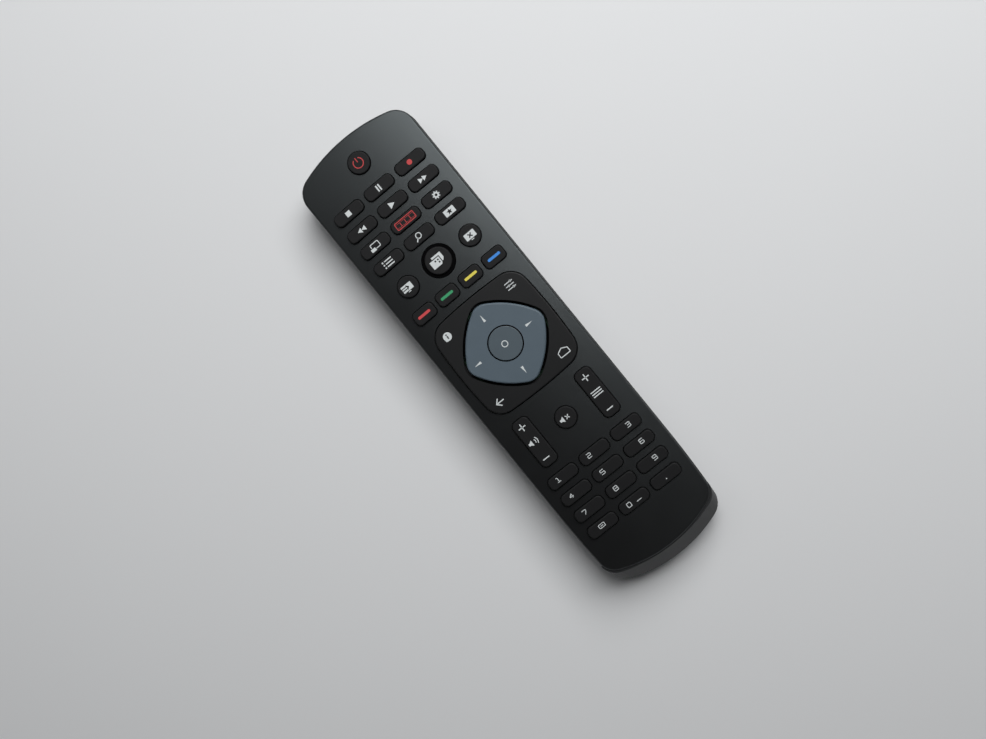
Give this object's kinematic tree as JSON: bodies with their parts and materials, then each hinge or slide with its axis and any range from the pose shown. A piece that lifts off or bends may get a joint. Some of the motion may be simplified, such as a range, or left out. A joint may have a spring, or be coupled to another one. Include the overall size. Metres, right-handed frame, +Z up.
{
  "type": "tv remote control",
  "caption": "Slim handheld television remote control with a crowned key face, a tilting direction pad, rockers, press keys and a sliding battery cover.",
  "frame": {"origin": "under the middle of the remote's length and width, on the surface that it lies on", "axes": "+Y along the remote to the end that is aimed at the screen, +Z up out of the key face"},
  "size_m": [0.053, 0.2032, 0.0223],
  "materials": {
    "face_plastic": "fine matte grain, black",
    "back_plastic": "fine matte grain, black",
    "key_plastic": "smooth satin, near black",
    "ring_plastic": "satin, dark blue-grey",
    "window_plastic": "polished, dark, lets infrared pass",
    "mat_rubber": "grey silicone rubber",
    "board_laminate": "solder mask on laminate",
    "pad_carbon": "printed carbon",
    "emitter_resin": "clear bluish resin",
    "chip_epoxy": "moulded epoxy",
    "can_steel": "pressed can",
    "capacitor_sleeve": "shrunk sleeve",
    "cell_case": "wrapped cell, plain",
    "contact_nickel": "nickel-plated spring steel",
    "screw_steel": "zinc-plated steel"
  },
  "bodies": {
    "casing": {"front_shell": "face_plastic", "rear_shell": "back_plastic", "ir_window": "window_plastic", "key_mat": "mat_rubber", "circuit_board": "board_laminate", "contact_pads": "pad_carbon", "ir_emitter": "emitter_resin", "controller_chip": "chip_epoxy", "driver_transistor": "chip_epoxy", "chip_resistors": "chip_epoxy", "resonator": "can_steel", "smoothing_capacitor": "capacitor_sleeve", "left_battery": "cell_case", "right_battery": "cell_case", "positive_contact": "contact_nickel", "negative_contact": "contact_nickel", "bridge_contact": "contact_nickel", "battery_springs": "contact_nickel", "case_screws": "screw_steel"},
    "power_key": {"power_key": "key_plastic"},
    "stop_key": {"stop_key": "key_plastic"},
    "pause_key": {"pause_key": "key_plastic"},
    "record_key": {"record_key": "key_plastic"},
    "rewind_key": {"rewind_key": "key_plastic"},
    "play_key": {"play_key": "key_plastic"},
    "forward_key": {"forward_key": "key_plastic"},
    "picture_key": {"picture_key": "key_plastic"},
    "film_key": {"film_key": "key_plastic"},
    "settings_key": {"settings_key": "key_plastic"},
    "guide_key": {"guide_key": "key_plastic"},
    "search_key": {"search_key": "key_plastic"},
    "menu_key": {"menu_key": "key_plastic"},
    "source_key": {"source_key": "key_plastic"},
    "window_key": {"window_key": "key_plastic"},
    "exit_key": {"exit_key": "key_plastic"},
    "red_key": {"red_key": "key_plastic"},
    "green_key": {"green_key": "key_plastic"},
    "yellow_key": {"yellow_key": "key_plastic"},
    "blue_key": {"blue_key": "key_plastic"},
    "mute_key": {"mute_key": "key_plastic"},
    "digit_1_key": {"digit_1_key": "key_plastic"},
    "digit_2_key": {"digit_2_key": "key_plastic"},
    "digit_3_key": {"digit_3_key": "key_plastic"},
    "digit_4_key": {"digit_4_key": "key_plastic"},
    "digit_5_key": {"digit_5_key": "key_plastic"},
    "digit_6_key": {"digit_6_key": "key_plastic"},
    "digit_7_key": {"digit_7_key": "key_plastic"},
    "digit_8_key": {"digit_8_key": "key_plastic"},
    "digit_9_key": {"digit_9_key": "key_plastic"},
    "subtitle_key": {"subtitle_key": "key_plastic"},
    "digit_0_key": {"digit_0_key": "key_plastic"},
    "text_key": {"text_key": "key_plastic"},
    "volume_rocker": {"volume_rocker": "key_plastic"},
    "channel_rocker": {"channel_rocker": "key_plastic"},
    "corner_plate": {"corner_plate": "key_plastic"},
    "corner_support": {"corner_support": "mat_rubber"},
    "direction_ring": {"direction_ring": "ring_plastic"},
    "ring_support": {"ring_support": "mat_rubber"},
    "confirm_key": {"confirm_key": "ring_plastic"},
    "battery_cover": {"battery_cover": "back_plastic"}
  },
  "joints": [
    {"name": "power_press", "type": "slide", "parent": "casing", "child": "power_key", "axis": [0, 0, -1], "range_m": [0, 0.0007], "stiffness_N_per_m": 1500},
    {"name": "stop_press", "type": "slide", "parent": "casing", "child": "stop_key", "axis": [0, 0, -1], "range_m": [0, 0.0007], "stiffness_N_per_m": 1500},
    {"name": "pause_press", "type": "slide", "parent": "casing", "child": "pause_key", "axis": [0, 0, -1], "range_m": [0, 0.0007], "stiffness_N_per_m": 1500},
    {"name": "record_press", "type": "slide", "parent": "casing", "child": "record_key", "axis": [0, 0, -1], "range_m": [0, 0.0007], "stiffness_N_per_m": 1500},
    {"name": "rewind_press", "type": "slide", "parent": "casing", "child": "rewind_key", "axis": [0, 0, -1], "range_m": [0, 0.0007], "stiffness_N_per_m": 1500},
    {"name": "play_press", "type": "slide", "parent": "casing", "child": "play_key", "axis": [0, 0, -1], "range_m": [0, 0.0007], "stiffness_N_per_m": 1500},
    {"name": "forward_press", "type": "slide", "parent": "casing", "child": "forward_key", "axis": [0, 0, -1], "range_m": [0, 0.0007], "stiffness_N_per_m": 1500},
    {"name": "picture_press", "type": "slide", "parent": "casing", "child": "picture_key", "axis": [0, 0, -1], "range_m": [0, 0.0007], "stiffness_N_per_m": 1500},
    {"name": "film_press", "type": "slide", "parent": "casing", "child": "film_key", "axis": [0, 0, -1], "range_m": [0, 0.0007], "stiffness_N_per_m": 1500},
    {"name": "settings_press", "type": "slide", "parent": "casing", "child": "settings_key", "axis": [0, 0, -1], "range_m": [0, 0.0007], "stiffness_N_per_m": 1500},
    {"name": "guide_press", "type": "slide", "parent": "casing", "child": "guide_key", "axis": [0, 0, -1], "range_m": [0, 0.0007], "stiffness_N_per_m": 1500},
    {"name": "search_press", "type": "slide", "parent": "casing", "child": "search_key", "axis": [0, 0, -1], "range_m": [0, 0.0007], "stiffness_N_per_m": 1500},
    {"name": "menu_press", "type": "slide", "parent": "casing", "child": "menu_key", "axis": [0, 0, -1], "range_m": [0, 0.0007], "stiffness_N_per_m": 1500},
    {"name": "source_press", "type": "slide", "parent": "casing", "child": "source_key", "axis": [0, 0, -1], "range_m": [0, 0.0007], "stiffness_N_per_m": 1500},
    {"name": "window_press", "type": "slide", "parent": "casing", "child": "window_key", "axis": [0, 0, -1], "range_m": [0, 0.0007], "stiffness_N_per_m": 1500},
    {"name": "exit_press", "type": "slide", "parent": "casing", "child": "exit_key", "axis": [0, 0, -1], "range_m": [0, 0.0007], "stiffness_N_per_m": 1500},
    {"name": "red_press", "type": "slide", "parent": "casing", "child": "red_key", "axis": [0, 0, -1], "range_m": [0, 0.0007], "stiffness_N_per_m": 1500},
    {"name": "green_press", "type": "slide", "parent": "casing", "child": "green_key", "axis": [0, 0, -1], "range_m": [0, 0.0007], "stiffness_N_per_m": 1500},
    {"name": "yellow_press", "type": "slide", "parent": "casing", "child": "yellow_key", "axis": [0, 0, -1], "range_m": [0, 0.0007], "stiffness_N_per_m": 1500},
    {"name": "blue_press", "type": "slide", "parent": "casing", "child": "blue_key", "axis": [0, 0, -1], "range_m": [0, 0.0007], "stiffness_N_per_m": 1500},
    {"name": "mute_press", "type": "slide", "parent": "casing", "child": "mute_key", "axis": [0, 0, -1], "range_m": [0, 0.0007], "stiffness_N_per_m": 1500},
    {"name": "digit_1_press", "type": "slide", "parent": "casing", "child": "digit_1_key", "axis": [0, 0, -1], "range_m": [0, 0.0007], "stiffness_N_per_m": 1500},
    {"name": "digit_2_press", "type": "slide", "parent": "casing", "child": "digit_2_key", "axis": [0, 0, -1], "range_m": [0, 0.0007], "stiffness_N_per_m": 1500},
    {"name": "digit_3_press", "type": "slide", "parent": "casing", "child": "digit_3_key", "axis": [0, 0, -1], "range_m": [0, 0.0007], "stiffness_N_per_m": 1500},
    {"name": "digit_4_press", "type": "slide", "parent": "casing", "child": "digit_4_key", "axis": [0, 0, -1], "range_m": [0, 0.0007], "stiffness_N_per_m": 1500},
    {"name": "digit_5_press", "type": "slide", "parent": "casing", "child": "digit_5_key", "axis": [0, 0, -1], "range_m": [0, 0.0007], "stiffness_N_per_m": 1500},
    {"name": "digit_6_press", "type": "slide", "parent": "casing", "child": "digit_6_key", "axis": [0, 0, -1], "range_m": [0, 0.0007], "stiffness_N_per_m": 1500},
    {"name": "digit_7_press", "type": "slide", "parent": "casing", "child": "digit_7_key", "axis": [0, 0, -1], "range_m": [0, 0.0007], "stiffness_N_per_m": 1500},
    {"name": "digit_8_press", "type": "slide", "parent": "casing", "child": "digit_8_key", "axis": [0, 0, -1], "range_m": [0, 0.0007], "stiffness_N_per_m": 1500},
    {"name": "digit_9_press", "type": "slide", "parent": "casing", "child": "digit_9_key", "axis": [0, 0, -1], "range_m": [0, 0.0007], "stiffness_N_per_m": 1500},
    {"name": "subtitle_press", "type": "slide", "parent": "casing", "child": "subtitle_key", "axis": [0, 0, -1], "range_m": [0, 0.0007], "stiffness_N_per_m": 1500},
    {"name": "digit_0_press", "type": "slide", "parent": "casing", "child": "digit_0_key", "axis": [0, 0, -1], "range_m": [0, 0.0007], "stiffness_N_per_m": 1500},
    {"name": "text_press", "type": "slide", "parent": "casing", "child": "text_key", "axis": [0, 0, -1], "range_m": [0, 0.0007], "stiffness_N_per_m": 1500},
    {"name": "volume_tilt", "type": "hinge", "parent": "casing", "child": "volume_rocker", "pos_m": [-0.015, -0.03225, 0.0182], "axis": [1, 0, 0], "range_deg": [-2.8, 2.8], "stiffness_Nm_per_rad": 0.2},
    {"name": "channel_tilt", "type": "hinge", "parent": "casing", "child": "channel_rocker", "pos_m": [0.015, -0.03225, 0.0182], "axis": [1, 0, 0], "range_deg": [-2.8, 2.8], "stiffness_Nm_per_rad": 0.2},
    {"name": "corner_tilt_a", "type": "hinge", "parent": "casing", "child": "corner_support", "pos_m": [0, 0.0035, 0.0153], "axis": [0.7071, 0.7071, 0], "range_deg": [-1.3, 1.3], "stiffness_Nm_per_rad": 1.5},
    {"name": "corner_tilt_b", "type": "hinge", "parent": "corner_support", "child": "corner_plate", "pos_m": [0, 0.0035, 0.0199], "axis": [-0.7071, 0.7071, 0], "range_deg": [-1.3, 1.3], "stiffness_Nm_per_rad": 1.5},
    {"name": "ring_tilt_up_down", "type": "hinge", "parent": "casing", "child": "ring_support", "pos_m": [0, 0.0035, 0.0153], "axis": [1, 0, 0], "range_deg": [-2, 2], "stiffness_Nm_per_rad": 0.6},
    {"name": "ring_tilt_left_right", "type": "hinge", "parent": "ring_support", "child": "direction_ring", "pos_m": [0, 0.0035, 0.0176], "axis": [0, 1, 0], "range_deg": [-2, 2], "stiffness_Nm_per_rad": 0.6},
    {"name": "confirm_press", "type": "slide", "parent": "direction_ring", "child": "confirm_key", "axis": [0, 0, -1], "range_m": [0, 0.0007], "stiffness_N_per_m": 1500},
    {"name": "cover_slide", "type": "slide", "parent": "casing", "child": "battery_cover", "axis": [0, -1, 0], "range_m": [0, 0.056]}
  ]
}
